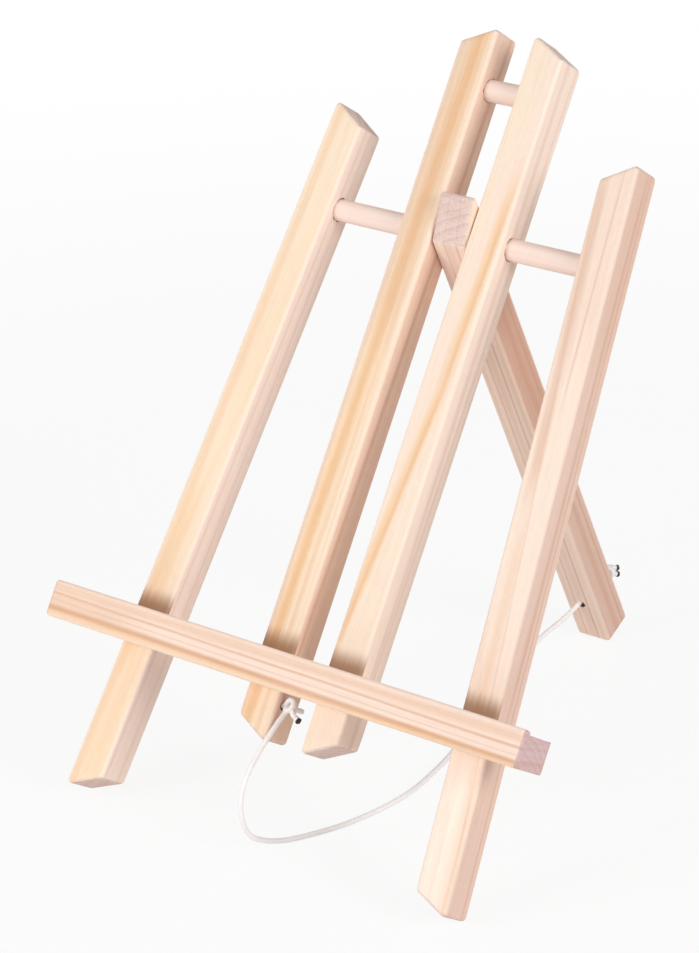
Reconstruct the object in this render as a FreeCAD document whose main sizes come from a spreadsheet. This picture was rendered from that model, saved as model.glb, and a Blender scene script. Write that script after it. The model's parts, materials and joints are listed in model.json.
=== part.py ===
# Tabletop folding easel: four mitred pine sticks, a tray, two dowels, a hinged rear leg and
# a cord that stops the leg.
#
# World frame, in millimetres: +X to the easel's right, +Y to its back, +Z up, standing on
# the floor at Z = 0. The four uprights, the tray and the dowels are drawn in the frame's own
# flat coordinates: X as in the world, Y from the front faces to the back, Z up the posts,
# with the origin on the pivot's height. The frame then leans back until all feet touch down.

import FreeCAD, Part
import math
import os

import Sketcher

DOCUMENT = FreeCAD.newDocument("Easel")
AXIS_X = FreeCAD.Vector(1, 0, 0)

# ---------------------------------------------------------------- driving dimensions

SIZES = [
    ("stock_width", 14.0),          # every stick, seen from the front
    ("stock_depth", 14.5),          # every stick, front face to back face
    ("stick_length", 264.0),        # the long edge of each of the four uprights
    ("end_mitre", 27.0),            # degrees off square, both ends of each upright
    ("edge_round", 1.2),            # sanded long edges
    ("post_top", 75.0),             # post tips above the pivot
    ("leg_top", 38.0),              # leg tips above the pivot, along the leg
    ("leg_spread", 66.7),           # centre line to a leg's outer edge, at the pivot
    ("leg_splay", 4.1),             # degrees, feet outwards
    ("side_play", 0.3),             # rear leg to each post
    ("dowel_diameter", 8.0),
    ("dowel_seat", 7.0),            # depth of a blind dowel seat
    ("seat_gap", 0.3),              # dowel end to the bottom of its seat
    ("glue_gap", 0.03),             # radial, dowel in a glued seat
    ("pivot_clearance", 0.08),      # radial, rear leg turning on its dowel
    ("top_dowel_height", 53.5),     # above the pivot
    ("tray_length", 202.0),
    ("tray_depth", 19.4),
    ("tray_height", 13.4),          # at the lip
    ("tray_drop", 170.4),           # pivot down to the underside
    ("lip_thickness", 3.5),
    ("lip_rise", 1.5),              # lip above the shelf
    ("tray_round", 1.0),            # sanded long edges of the tray
    ("rear_length", 230.0),         # the rear leg along its long edge
    ("rear_head", 17.5),            # its tip above the pivot
    ("head_cut", 45.0),             # degrees, bevel of its head
    ("opening_angle", 60.0),        # degrees between the frame and the rear leg at rest
    ("cord_diameter", 2.0),
    ("cord_hole", 3.0),
    ("front_hole_drop", 4.3),       # tray underside down to the front hole
    ("front_hole_setback", 4.4),    # post's front face to the front hole
    ("rear_hole_rise", 20.5),       # rear leg's foot up to the rear hole
    ("knot_seat_gap", 0.02),        # knots and the cord's end to the wood they bear on
    ("loop_gap", 0.3),              # the cord's loop to the post's back and outer faces
    ("front_knot_diameter", 5.0),
    ("front_knot_bite", 0.4),       # the cord's end into the front knot
    ("loop_bite", 0.5),             # the loop's end into the front knot
    ("front_tail", 4.0),            # burnt end standing out of the front knot
    ("rear_knot_diameter", 5.4),
    ("rear_tail", 1.6),             # each burnt end standing out of the rear knot
    ("brad_diameter", 1.4),
    ("brad_length", 25.0),
    ("brad_head_diameter", 2.8),
    ("brad_head_thickness", 0.8),
]

# The cord's route, world millimetres: out of the front knot, down to the floor in a slack
# loop, back along it, and up through the rear leg's hole. The first and last points are
# worked out from the knots.
CORD_ROUTE = [
    (-6.0, -96.6, 40.7),
    (-6.5, -112.1, 26.7),
    (-6.0, -110.6, 8.8),
    (-3.6, -98.6, 1.1),
    (3.6, -88.6, 1.1),
    (11.5, -70.1, 1.1),
    (16.0, -44.1, 1.1),
    (12.2, -15.1, 1.1),
    (5.5, 10.9, 1.1),
    (0.6, 36.9, 4.0),
    (-2.6, 62.9, 13.0),
    (-0.3, 90.7, 17.0),
]


def make_sheet():
    """Put every driving dimension in one spreadsheet, value in column B, alias its name."""
    sheet = DOCUMENT.addObject("Spreadsheet::Sheet", "Sizes")
    for row, (name, value) in enumerate(SIZES, start=1):
        sheet.set(f"A{row}", name)
        sheet.set(f"B{row}", str(value))
        sheet.setAlias(f"B{row}", name)
    DOCUMENT.recompute()
    return sheet


SHEET = make_sheet()


def size(name):
    """One driving dimension, as a number."""
    return float(getattr(SHEET, name))


# ---------------------------------------------------------------- shared places, as expressions

UPRIGHTS = [("left_leg", -1), ("right_leg", 1), ("left_post", -1), ("right_post", 1)]
# Half the gap between the posts: the rear leg, which is the stock turned on edge, and its play.
HALF_GAP = "Sizes.stock_depth / 2 + Sizes.side_play"
# From the centre line to a leg's inner edge at the pivot.
LEG_INNER = "Sizes.leg_spread - Sizes.stock_width / cos(Sizes.leg_splay)"
SEAT_RADIUS = "Sizes.dowel_diameter / 2 + Sizes.glue_gap"
MID_DEPTH = "Sizes.stock_depth / 2"
# The brads' height: the middle of the tray's shelf part.
BRAD_LEVEL = "(Sizes.tray_height - Sizes.lip_rise) / 2 - Sizes.tray_drop"
REAR_BELOW = "(Sizes.rear_length - Sizes.rear_head)"


def half_gap():
    """HALF_GAP as a number."""
    return size("stock_depth") / 2 + size("side_play")


# ---------------------------------------------------------------- sketch and body helpers

def origin_plane(body, role):
    """A body's own origin plane, by its role."""
    return next(item for item in body.Origin.OriginFeatures if item.Role == role)


def new_body(name):
    body = DOCUMENT.addObject("PartDesign::Body", name)
    body.Label = name
    return body


def new_sketch(body, name, role):
    """An empty sketch on one of the body's origin planes."""
    sketch = body.newObject("Sketcher::SketchObject", name)
    sketch.AttachmentSupport = (origin_plane(body, role), "")
    sketch.MapMode = "FlatFace"
    return sketch


def bind(sketch, constraint, name, expression):
    """Add a dimension to a sketch and drive it from the sheet."""
    index = sketch.addConstraint(constraint)
    sketch.renameConstraint(index, name)
    sketch.setExpression(f"Constraints.{name}", expression)


def polygon(sketch, corners):
    """A closed run of straight lines through the corners, joined end to end."""
    count = len(corners)
    for index in range(count):
        start = FreeCAD.Vector(*corners[index], 0)
        end = FreeCAD.Vector(*corners[(index + 1) % count], 0)
        sketch.addGeometry(Part.LineSegment(start, end), False)
    for index in range(count):
        following = (index + 1) % count
        sketch.addConstraint(Sketcher.Constraint("Coincident", index, 2, following, 1))


def circle(sketch, centre, radius, radius_expression, across=None, up=None):
    """A circle of a driven radius. Its centre is driven by two expressions, or on an axis."""
    at = FreeCAD.Vector(*centre, 0)
    index = sketch.addGeometry(Part.Circle(at, FreeCAD.Vector(0, 0, 1), radius), False)
    label = f"hole{index}"
    bind(sketch, Sketcher.Constraint("Radius", index, radius), f"{label}_radius", radius_expression)
    if across is None:
        sketch.addConstraint(Sketcher.Constraint("PointOnObject", index, 3, -2))
    else:
        along_x = Sketcher.Constraint("DistanceX", -1, 1, index, 3, centre[0])
        bind(sketch, along_x, f"{label}_across", across)
    if up is None:
        sketch.addConstraint(Sketcher.Constraint("PointOnObject", index, 3, -1))
    else:
        along_y = Sketcher.Constraint("DistanceY", -1, 1, index, 3, centre[1])
        bind(sketch, along_y, f"{label}_up", up)


def pad(body, sketch, length_expression, reversed_way=False, both_ways=False):
    feature = body.newObject("PartDesign::Pad", f"{body.Name}_pad")
    feature.Profile = sketch
    feature.setExpression("Length", length_expression)
    feature.Reversed = reversed_way
    feature.Midplane = both_ways
    DOCUMENT.recompute()
    return feature


def pocket(body, sketch, length_expression=None, reversed_way=False):
    """Cut the sketch to a driven depth, or right through both ways, and prove it cut."""
    before = body.Shape.Volume
    feature = body.newObject("PartDesign::Pocket", f"{sketch.Name}_cut")
    feature.Profile = sketch
    if length_expression:
        feature.setExpression("Length", length_expression)
        feature.Reversed = reversed_way
    else:
        feature.Type = "ThroughAll"
        feature.Midplane = True
    DOCUMENT.recompute()
    if body.Shape.Volume >= before:
        raise RuntimeError(f"{sketch.Name} cut nothing")
    return feature


def round_long_edges(body, base, radius_expression, shortest):
    """Round every straight edge of a feature that is at least so long."""
    names = []
    for number, edge in enumerate(base.Shape.Edges, start=1):
        if edge.Length >= shortest:
            names.append(f"Edge{number}")
    feature = body.newObject("PartDesign::Fillet", f"{body.Name}_rounding")
    feature.Base = (base, names)
    feature.setExpression("Radius", radius_expression)
    DOCUMENT.recompute()
    return feature


# ---------------------------------------------------------------- the four uprights

def upright(name, side, top, long_edge_outwards):
    """A mitred stick: a trapezoid sketch seen from the front, padded to the stock's depth.

    The sketch's own Y axis is the stick's long edge. For a post that edge faces the gap,
    and for a leg it faces outwards and leans by the splay.
    """
    body = new_body(name)
    sketch = new_sketch(body, f"{name}_outline", "XZ_Plane")
    toward = -side if long_edge_outwards else side
    width = size("stock_width")
    step = width * math.tan(math.radians(size("end_mitre")))
    high = size(top)
    low = high - size("stick_length")
    polygon(sketch, [(0, low), (0, high), (toward * width, high - step), (toward * width, low + step)])
    sketch.addConstraint(Sketcher.Constraint("PointOnObject", 0, 1, -2))
    sketch.addConstraint(Sketcher.Constraint("PointOnObject", 0, 2, -2))
    sketch.addConstraint(Sketcher.Constraint("Vertical", 2))
    drop = "Sizes.stock_width * tan(Sizes.end_mitre)"
    across = Sketcher.Constraint("DistanceX", 0, 2, 1, 2, toward * width)
    bind(sketch, across, "width", f"{toward} * Sizes.stock_width")
    bind(sketch, Sketcher.Constraint("DistanceY", -1, 1, 0, 2, high), "top", f"Sizes.{top}")
    bind(sketch, Sketcher.Constraint("DistanceY", 0, 1, 0, 2, high - low), "length", "Sizes.stick_length")
    bind(sketch, Sketcher.Constraint("DistanceY", 1, 2, 0, 2, step), "top_mitre", drop)
    bind(sketch, Sketcher.Constraint("DistanceY", 0, 1, 2, 2, step), "foot_mitre", drop)
    if long_edge_outwards:
        sketch.setExpression("AttachmentOffset.Base.x", f"{side} * Sizes.leg_spread")
        sketch.setExpression("AttachmentOffset.Rotation.Angle", f"{side} * Sizes.leg_splay")
    else:
        sketch.setExpression("AttachmentOffset.Base.x", f"{side} * ({HALF_GAP})")
    stick = pad(body, sketch, "Sizes.stock_depth", reversed_way=True)
    round_long_edges(body, stick, "Sizes.edge_round", size("stick_length") / 2)
    return body


def side_hole(body, name, radius, depth, height=None, side=1):
    """A round hole along X at mid depth: through the body, or blind from the centre line."""
    sketch = new_sketch(body, f"{body.Name}_{name}", "YZ_Plane")
    at_height = size(height) if height else 0.0
    level = f"Sizes.{height}" if height else None
    centre = (size("stock_depth") / 2, at_height)
    circle(sketch, centre, size("dowel_diameter") / 2, radius, across=MID_DEPTH, up=level)
    return pocket(body, sketch, depth, reversed_way=side > 0)


def brad_hole(body, side):
    """The brad's hole and its head's sinking, straight through an upright from behind."""
    place = brad_place(body.Name)
    across = brad_across(body.Name, side)
    shank = new_sketch(body, f"{body.Name}_brad_hole", "XZ_Plane")
    circle(shank, place, size("brad_diameter") / 2, "Sizes.brad_diameter / 2", across, BRAD_LEVEL)
    pocket(body, shank)
    sinking = new_sketch(body, f"{body.Name}_brad_sinking", "XZ_Plane")
    sinking.setExpression("AttachmentOffset.Base.z", "-Sizes.stock_depth")
    circle(sinking, place, size("brad_head_diameter") / 2, "Sizes.brad_head_diameter / 2",
           across, BRAD_LEVEL)
    pocket(body, sinking, "Sizes.brad_head_thickness", reversed_way=True)


def brad_level():
    """BRAD_LEVEL as a number."""
    return -size("tray_drop") + (size("tray_height") - size("lip_rise")) / 2


def brad_across(name, side):
    """Expression for the middle of an upright's width at the brads' height."""
    if name.endswith("post"):
        return f"{side} * ({HALF_GAP} + Sizes.stock_width / 2)"
    middle = "Sizes.stock_width / 2 / cos(Sizes.leg_splay)"
    return f"{side} * (Sizes.leg_spread - ({BRAD_LEVEL}) * tan(Sizes.leg_splay) - {middle})"


def brad_place(name):
    """The brad's place in an upright, as numbers: across and up."""
    side = -1 if name.startswith("left") else 1
    if name.endswith("post"):
        return side * (half_gap() + size("stock_width") / 2), brad_level()
    splay = math.radians(size("leg_splay"))
    outer = size("leg_spread") - brad_level() * math.tan(splay)
    return side * (outer - size("stock_width") / 2 / math.cos(splay)), brad_level()


def make_post(name, side):
    """A centre post: through hole for the pivot dowel, blind seat for the top dowel."""
    body = upright(name, side, "post_top", long_edge_outwards=False)
    side_hole(body, "pivot_hole", SEAT_RADIUS, None)
    seat_depth = f"{HALF_GAP} + Sizes.dowel_seat"
    side_hole(body, "top_seat", SEAT_RADIUS, seat_depth, "top_dowel_height", side)
    brad_hole(body, side)
    return body


def make_leg(name, side):
    """A side leg: one blind seat for the pivot dowel in its inner edge."""
    body = upright(name, side, "leg_top", long_edge_outwards=True)
    side_hole(body, "pivot_seat", SEAT_RADIUS, f"{LEG_INNER} + Sizes.dowel_seat", None, side)
    brad_hole(body, side)
    return body


def drill_cord_hole(post):
    """The cord's hole in the left post, along X, just below the tray."""
    sketch = new_sketch(post, "left_post_cord_hole", "YZ_Plane")
    level = -(size("tray_drop") + size("front_hole_drop"))
    circle(sketch, (size("front_hole_setback"), level), size("cord_hole") / 2, "Sizes.cord_hole / 2",
           "Sizes.front_hole_setback", "-(Sizes.tray_drop + Sizes.front_hole_drop)")
    pocket(post, sketch)


# ---------------------------------------------------------------- tray

def make_tray():
    """One rebated strip: a shelf with a low lip at its front, padded across the frame."""
    body = new_body("tray")
    sketch = new_sketch(body, "tray_section", "YZ_Plane")
    depth = size("tray_depth")
    low = -size("tray_drop")
    high = low + size("tray_height")
    shelf = high - size("lip_rise")
    lip_back = -depth + size("lip_thickness")
    polygon(sketch, [(-depth, low), (0, low), (0, shelf), (lip_back, shelf), (lip_back, high),
                     (-depth, high)])
    for line in (0, 2, 4):
        sketch.addConstraint(Sketcher.Constraint("Horizontal", line))
    for line in (1, 3, 5):
        sketch.addConstraint(Sketcher.Constraint("Vertical", line))
    sketch.addConstraint(Sketcher.Constraint("PointOnObject", 1, 1, -2))
    bind(sketch, Sketcher.Constraint("DistanceX", 0, 1, 0, 2, depth), "depth", "Sizes.tray_depth")
    bind(sketch, Sketcher.Constraint("DistanceY", 0, 2, -1, 1, -low), "drop", "Sizes.tray_drop")
    bind(sketch, Sketcher.Constraint("DistanceY", 5, 2, 5, 1, high - low), "height",
         "Sizes.tray_height")
    bind(sketch, Sketcher.Constraint("DistanceX", 4, 2, 4, 1, size("lip_thickness")), "lip",
         "Sizes.lip_thickness")
    bind(sketch, Sketcher.Constraint("DistanceY", 3, 1, 3, 2, size("lip_rise")), "rise",
         "Sizes.lip_rise")
    strip = pad(body, sketch, "Sizes.tray_length", both_ways=True)
    round_tray(body, strip)
    for name, side in UPRIGHTS:
        hole = new_sketch(body, f"tray_brad_hole_{name}", "XZ_Plane")
        circle(hole, brad_place(name), size("brad_diameter") / 2, "Sizes.brad_diameter / 2",
               brad_across(name, side), BRAD_LEVEL)
        pocket(body, hole, "Sizes.brad_length - Sizes.stock_depth", reversed_way=True)
    return body


def round_tray(body, strip):
    """Round the tray's four outer front and top edges, but not its flat back."""
    names = []
    shelf = -size("tray_drop") + size("tray_height") - size("lip_rise")
    for number, edge in enumerate(strip.Shape.Edges, start=1):
        middle = edge.CenterOfMass
        at_back = abs(middle.y) < size("lip_rise")
        inner_corner = abs(middle.z - shelf) < size("lip_rise") / 2
        if edge.Length > size("tray_length") / 2 and not at_back and not inner_corner:
            names.append(f"Edge{number}")
    feature = body.newObject("PartDesign::Fillet", "tray_rounding")
    feature.Base = (strip, names)
    feature.setExpression("Radius", "Sizes.tray_round")
    DOCUMENT.recompute()


# ---------------------------------------------------------------- rear leg

def make_rear_leg():
    """The prop, hanging straight down from its pivot at the body's origin."""
    body = new_body("rear_leg")
    sketch = new_sketch(body, "rear_leg_outline", "YZ_Plane")
    half = size("stock_width") / 2
    head = size("rear_head")
    low = head - size("rear_length")
    bevel = size("stock_width") * math.tan(math.radians(size("head_cut")))
    polygon(sketch, [(-half, low), (half, low), (half, head), (-half, head - bevel)])
    sketch.addConstraint(Sketcher.Constraint("Vertical", 1))
    sketch.addConstraint(Sketcher.Constraint("Vertical", 3))
    sketch.addConstraint(Sketcher.Constraint("Symmetric", 0, 1, 0, 2, -2))
    bind(sketch, Sketcher.Constraint("DistanceX", 0, 1, 0, 2, 2 * half), "depth", "Sizes.stock_width")
    bind(sketch, Sketcher.Constraint("DistanceY", -1, 1, 1, 2, head), "head", "Sizes.rear_head")
    bind(sketch, Sketcher.Constraint("DistanceY", 1, 1, 1, 2, head - low), "length",
         "Sizes.rear_length")
    bind(sketch, Sketcher.Constraint("DistanceY", 2, 2, 2, 1, bevel), "bevel",
         "Sizes.stock_width * tan(Sizes.head_cut)")
    stick = pad(body, sketch, "Sizes.stock_depth", both_ways=True)
    round_long_edges(body, stick, "Sizes.edge_round", size("rear_length") / 2)
    pivot = new_sketch(body, "rear_leg_pivot_hole", "YZ_Plane")
    circle(pivot, (0, 0), size("dowel_diameter") / 2,
           "Sizes.dowel_diameter / 2 + Sizes.pivot_clearance")
    pocket(body, pivot)
    cord_hole = new_sketch(body, "rear_leg_cord_hole", "XZ_Plane")
    circle(cord_hole, (0, low + size("rear_hole_rise")), size("cord_hole") / 2,
           "Sizes.cord_hole / 2", None, f"Sizes.rear_hole_rise - {REAR_BELOW}")
    pocket(body, cord_hole)
    return body


# ---------------------------------------------------------------- dowels and brads

def make_dowel(name, half_length_expression, height=None):
    """A round rod along X at mid depth, its ends short of the bottoms of their seats."""
    body = new_body(name)
    sketch = new_sketch(body, f"{name}_section", "YZ_Plane")
    at_height = size(height) if height else 0.0
    centre = (size("stock_depth") / 2, at_height)
    circle(sketch, centre, size("dowel_diameter") / 2, "Sizes.dowel_diameter / 2", MID_DEPTH,
           f"Sizes.{height}" if height else None)
    pad(body, sketch, f"2 * ({half_length_expression} + Sizes.dowel_seat - Sizes.seat_gap)",
        both_ways=True)
    return body


def cylinder(name, radius, height, placement):
    """A Part cylinder of driven size, standing on a placement given in the frame's coordinates."""
    rod = DOCUMENT.addObject("Part::Cylinder", name)
    rod.setExpression("Radius", radius)
    rod.setExpression("Height", height)
    rod.Placement = placement
    return rod


def make_brads():
    """A headed brad for each upright, driven from the back into the tray."""
    forwards = FreeCAD.Rotation(AXIS_X, 90)
    brads = []
    for name, side in UPRIGHTS:
        across, level = brad_place(name)
        start = FreeCAD.Placement(FreeCAD.Vector(across, size("stock_depth"), level), forwards)
        shank = cylinder(f"{name}_brad_shank", "Sizes.brad_diameter / 2", "Sizes.brad_length", start)
        head = cylinder(f"{name}_brad_head", "Sizes.brad_head_diameter / 2",
                        "Sizes.brad_head_thickness", start)
        brad = DOCUMENT.addObject("Part::Fuse", f"{name}_brad")
        brad.Label = f"{name}_brad"
        brad.Base = head
        brad.Tool = shank
        brads.append(brad)
    return brads


# ---------------------------------------------------------------- cord and knots

def tube(points, radius, bend=None):
    """A round tube along straight runs joined by tangent arcs, its length and its radii.

    Each arc is as large as its two runs allow, 0.45 of the shorter one, unless bend gives it.
    """
    points = [FreeCAD.Vector(*point) for point in points]
    edges = []
    radii = []
    start = points[0]
    for index in range(1, len(points) - 1):
        before, here, after = points[index - 1:index + 2]
        arriving = (here - before).normalize()
        leaving = (after - here).normalize()
        turn = arriving.getAngle(leaving)
        reach = 0.45 * min((here - before).Length, (after - here).Length)
        if bend:
            reach = bend * math.tan(turn / 2)
        radii.append(reach / math.tan(turn / 2))
        arc_start = here - arriving * reach
        arc_end = here + leaving * reach
        inwards = (leaving - arriving).normalize()
        to_middle = reach * (1 / math.sin(turn / 2) - 1 / math.tan(turn / 2))
        middle = here + inwards * to_middle
        edges.append(Part.LineSegment(start, arc_start).toShape())
        edges.append(Part.Arc(arc_start, middle, arc_end).toShape())
        start = arc_end
    edges.append(Part.LineSegment(start, points[-1]).toShape())
    path = Part.Wire(edges)
    section = Part.Wire([Part.Circle(points[0], points[1] - points[0], radius).toShape()])
    solid = path.makePipeShell([section], True, False)
    return solid, path.Length, radii


# A knot's poles point clear of every cord that joins it.
BALL_AXIS = FreeCAD.Vector(0.3, 0.5, 0.8)
# Bend of the front loop at the post's corners, in cord radii.
LOOP_BEND = 1.6
FRONT_TAIL_WAY = FreeCAD.Vector(0.86, 0.0, -0.5)
REAR_TAIL_WAYS = (FreeCAD.Vector(0.45, 0.85, -0.25), FreeCAD.Vector(0.25, 0.75, -0.85))
# How far the rear knot's middle stands off the wood, in knot radii: less than 1 is flattened.
KNOT_STAND = 0.7


def front_hole():
    """The middle of the cord's hole in the left post: back and up, frame coordinates."""
    return size("front_hole_setback"), -(size("tray_drop") + size("front_hole_drop"))


def make_front_knot():
    """A round knot on the gap side of the left post, with its burnt tail."""
    back, level = front_hole()
    knot_radius = size("front_knot_diameter") / 2
    centre = FreeCAD.Vector(knot_radius + size("knot_seat_gap") - half_gap(), back, level)
    ball = Part.makeSphere(knot_radius, centre, BALL_AXIS)
    reach = knot_radius + size("front_tail")
    tail = Part.makeCylinder(size("cord_diameter") / 2, reach, centre, FRONT_TAIL_WAY)
    knot = DOCUMENT.addObject("Part::Feature", "front_knot")
    knot.Label = "front_knot"
    knot.Shape = ball.fuse(tail).removeSplitter()
    return knot


def make_front_loop():
    """The cord's loop: from the knot out through the hole, round the post's back, and home."""
    back, level = front_hole()
    cord = size("cord_diameter") / 2
    inner = -half_gap()
    start = inner + size("loop_bite")
    outside = inner - size("stock_width") - cord - size("loop_gap")
    behind = size("stock_depth") + cord + size("loop_gap")
    inside = inner + cord + size("knot_seat_gap")
    corners = [(start, back, level), (outside, back, level), (outside, behind, level),
               (inside, behind, level), (inside, back + cord + size("loop_gap"), level)]
    loop = DOCUMENT.addObject("Part::Feature", "front_loop")
    loop.Label = "front_loop"
    loop.Shape = tube(corners, cord, LOOP_BEND * cord)[0]
    return loop


def make_rear_knot():
    """A round knot behind the rear leg, flat where it bears on the wood, with two tails."""
    cord = size("cord_diameter") / 2
    knot_radius = size("rear_knot_diameter") / 2
    face = size("stock_width") / 2
    level = size("rear_head") - size("rear_length") + size("rear_hole_rise")
    centre = FreeCAD.Vector(0, face + KNOT_STAND * knot_radius, level)
    ball = Part.makeSphere(knot_radius, centre, BALL_AXIS)
    tails = []
    for way in REAR_TAIL_WAYS:
        tails.append(Part.makeCylinder(cord, knot_radius + size("rear_tail"), centre, way))
    whole = ball.multiFuse(tails)
    reach = 4 * knot_radius
    corner = FreeCAD.Vector(-reach, face, level - reach)
    knot = DOCUMENT.addObject("Part::Feature", "rear_knot")
    knot.Label = "rear_knot"
    knot.Shape = whole.common(Part.makeBox(2 * reach, reach, 2 * reach, corner)).removeSplitter()
    return knot


def make_cord(frame_placement, rear_placement):
    """The cord's tube in world coordinates, knot to knot along its route."""
    back, level = front_hole()
    knot_radius = size("front_knot_diameter") / 2
    knot_x = knot_radius + size("knot_seat_gap") - half_gap()
    knot_centre = frame_placement.multVec(FreeCAD.Vector(knot_x, back, level))
    out_way = (FreeCAD.Vector(*CORD_ROUTE[0]) - knot_centre).normalize()
    first = knot_centre + out_way * (knot_radius - size("front_knot_bite"))
    rear_level = size("rear_head") - size("rear_length") + size("rear_hole_rise")
    rear_face = size("stock_width") / 2 - size("knot_seat_gap")
    last = rear_placement.multVec(FreeCAD.Vector(0, rear_face, rear_level))
    points = [tuple(first)] + CORD_ROUTE + [tuple(last)]
    solid, length, radii = tube(points, size("cord_diameter") / 2)
    section = math.pi * (size("cord_diameter") / 2) ** 2
    print("cord points", [tuple(round(value, 2) for value in point) for point in points])
    print("cord length", round(length, 1), "radii", [round(value, 1) for value in radii])
    print("cord volume over section times length", round(solid.Volume / (section * length), 4))
    cord = DOCUMENT.addObject("Part::Feature", "cord")
    cord.Label = "cord"
    cord.Shape = solid
    return cord


# ---------------------------------------------------------------- standing on the floor

def frame_tilt(lean):
    """The frame's placement for a lean in degrees, before it is set down."""
    return FreeCAD.Placement(FreeCAD.Vector(0, 0, 0), FreeCAD.Rotation(AXIS_X, -lean))


def rear_tilt(lean):
    """The rear leg's placement: turned open on the pivot, then leant with the frame."""
    pivot = FreeCAD.Vector(0, size("stock_depth") / 2, 0)
    opened = FreeCAD.Placement(pivot, FreeCAD.Rotation(AXIS_X, size("opening_angle")))
    return frame_tilt(lean).multiply(opened)


def extent(shape, placement):
    """The bounding box of an unplaced shape after a placement."""
    return shape.transformGeometry(placement.toMatrix()).optimalBoundingBox(False, False)


def foot(shape, placement):
    """The lowest point's Y and Z."""
    box = extent(shape, placement)
    lowest = min((placement.multVec(vertex.Point) for vertex in shape.Vertexes), key=lambda p: p.z)
    return lowest.y, box.ZMin


def settled_lean(leg_shape, rear_shape):
    """The lean at which a side leg and the rear leg are down on one level."""
    lean = size("opening_angle") / 2
    for _ in range(6):
        leg_y, leg_z = foot(leg_shape, frame_tilt(lean))
        rear_y, rear_z = foot(rear_shape, rear_tilt(lean))
        lean += math.degrees(math.atan2(rear_z - leg_z, rear_y - leg_y))
    return lean


def set_down(lean, framed, hinged):
    """Where the tilted easel goes: feet on Z = 0, its box centred on the Z axis."""
    boxes = [extent(item.Shape, frame_tilt(lean)) for item in framed]
    boxes += [extent(item.Shape, rear_tilt(lean)) for item in hinged]
    middle_y = (min(box.YMin for box in boxes) + max(box.YMax for box in boxes)) / 2
    lowest = min(box.ZMin for box in boxes)
    return FreeCAD.Placement(FreeCAD.Vector(0, -middle_y, -lowest), FreeCAD.Rotation())


# ---------------------------------------------------------------- build, check, export

def check(items):
    for item in DOCUMENT.Objects:
        if "Invalid" in item.State or "Error" in item.State:
            raise RuntimeError(f"{item.Name} is {item.State}")
    for item in items:
        if item.Shape.isNull() or not item.Shape.isValid() or item.Shape.Volume <= 0:
            raise RuntimeError(f"{item.Label} has a bad shape")


def build():
    left_leg = make_leg("left_leg", -1)
    right_leg = make_leg("right_leg", 1)
    left_post = make_post("left_post", -1)
    right_post = make_post("right_post", 1)
    drill_cord_hole(left_post)
    tray = make_tray()
    top_dowel = make_dowel("top_dowel", HALF_GAP, "top_dowel_height")
    pivot_dowel = make_dowel("pivot_dowel", LEG_INNER)
    brads = make_brads()
    rear_leg = make_rear_leg()
    front_knot = make_front_knot()
    front_loop = make_front_loop()
    rear_knot = make_rear_knot()
    DOCUMENT.recompute()

    wooden = [left_leg, right_leg, left_post, right_post, tray, top_dowel, pivot_dowel]
    lean = settled_lean(right_leg.Shape, rear_leg.Shape)
    down = set_down(lean, wooden, [rear_leg])
    frame_placement = down.multiply(frame_tilt(lean))
    rear_placement = down.multiply(rear_tilt(lean))
    for item in wooden + brads + [front_knot, front_loop]:
        item.Placement = frame_placement
    for item in (rear_leg, rear_knot):
        item.Placement = rear_placement
    cord = make_cord(frame_placement, rear_placement)
    DOCUMENT.recompute()
    print("lean", round(lean, 3), "pivot", tuple(frame_placement.multVec(
        FreeCAD.Vector(0, size("stock_depth") / 2, 0))))
    return wooden + brads + [front_knot, front_loop, rear_leg, rear_knot, cord]


def export(items):
    os.makedirs("parts", exist_ok=True)
    for item in items:
        item.Shape.exportStep(f"parts/{item.Label}.step")
        box = item.Shape.optimalBoundingBox(False, False)
        print(item.Label, len(item.Shape.Solids), round(item.Shape.Volume, 1), "z from",
              round(box.ZMin, 2), "to", round(box.ZMax, 2))


PIECES = build()
check(PIECES)
export(PIECES)
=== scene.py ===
# %% [markdown]
# # A folding tabletop easel in raw pine
#
# The easel is six sticks, two dowels, four brads and one slack cord. The dowels and the brads
# come ready made from the frame, and the sticks are copies of it with sanded ends, so most of
# this lesson is about their finish: a solid wood that knows which way each stick grew. The cord
# and its knots are plaited here.

# %% Load the frame
import json
import math

import bmesh
import bpy
import numpy as np
from mathutils import Matrix, Vector, noise


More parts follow.
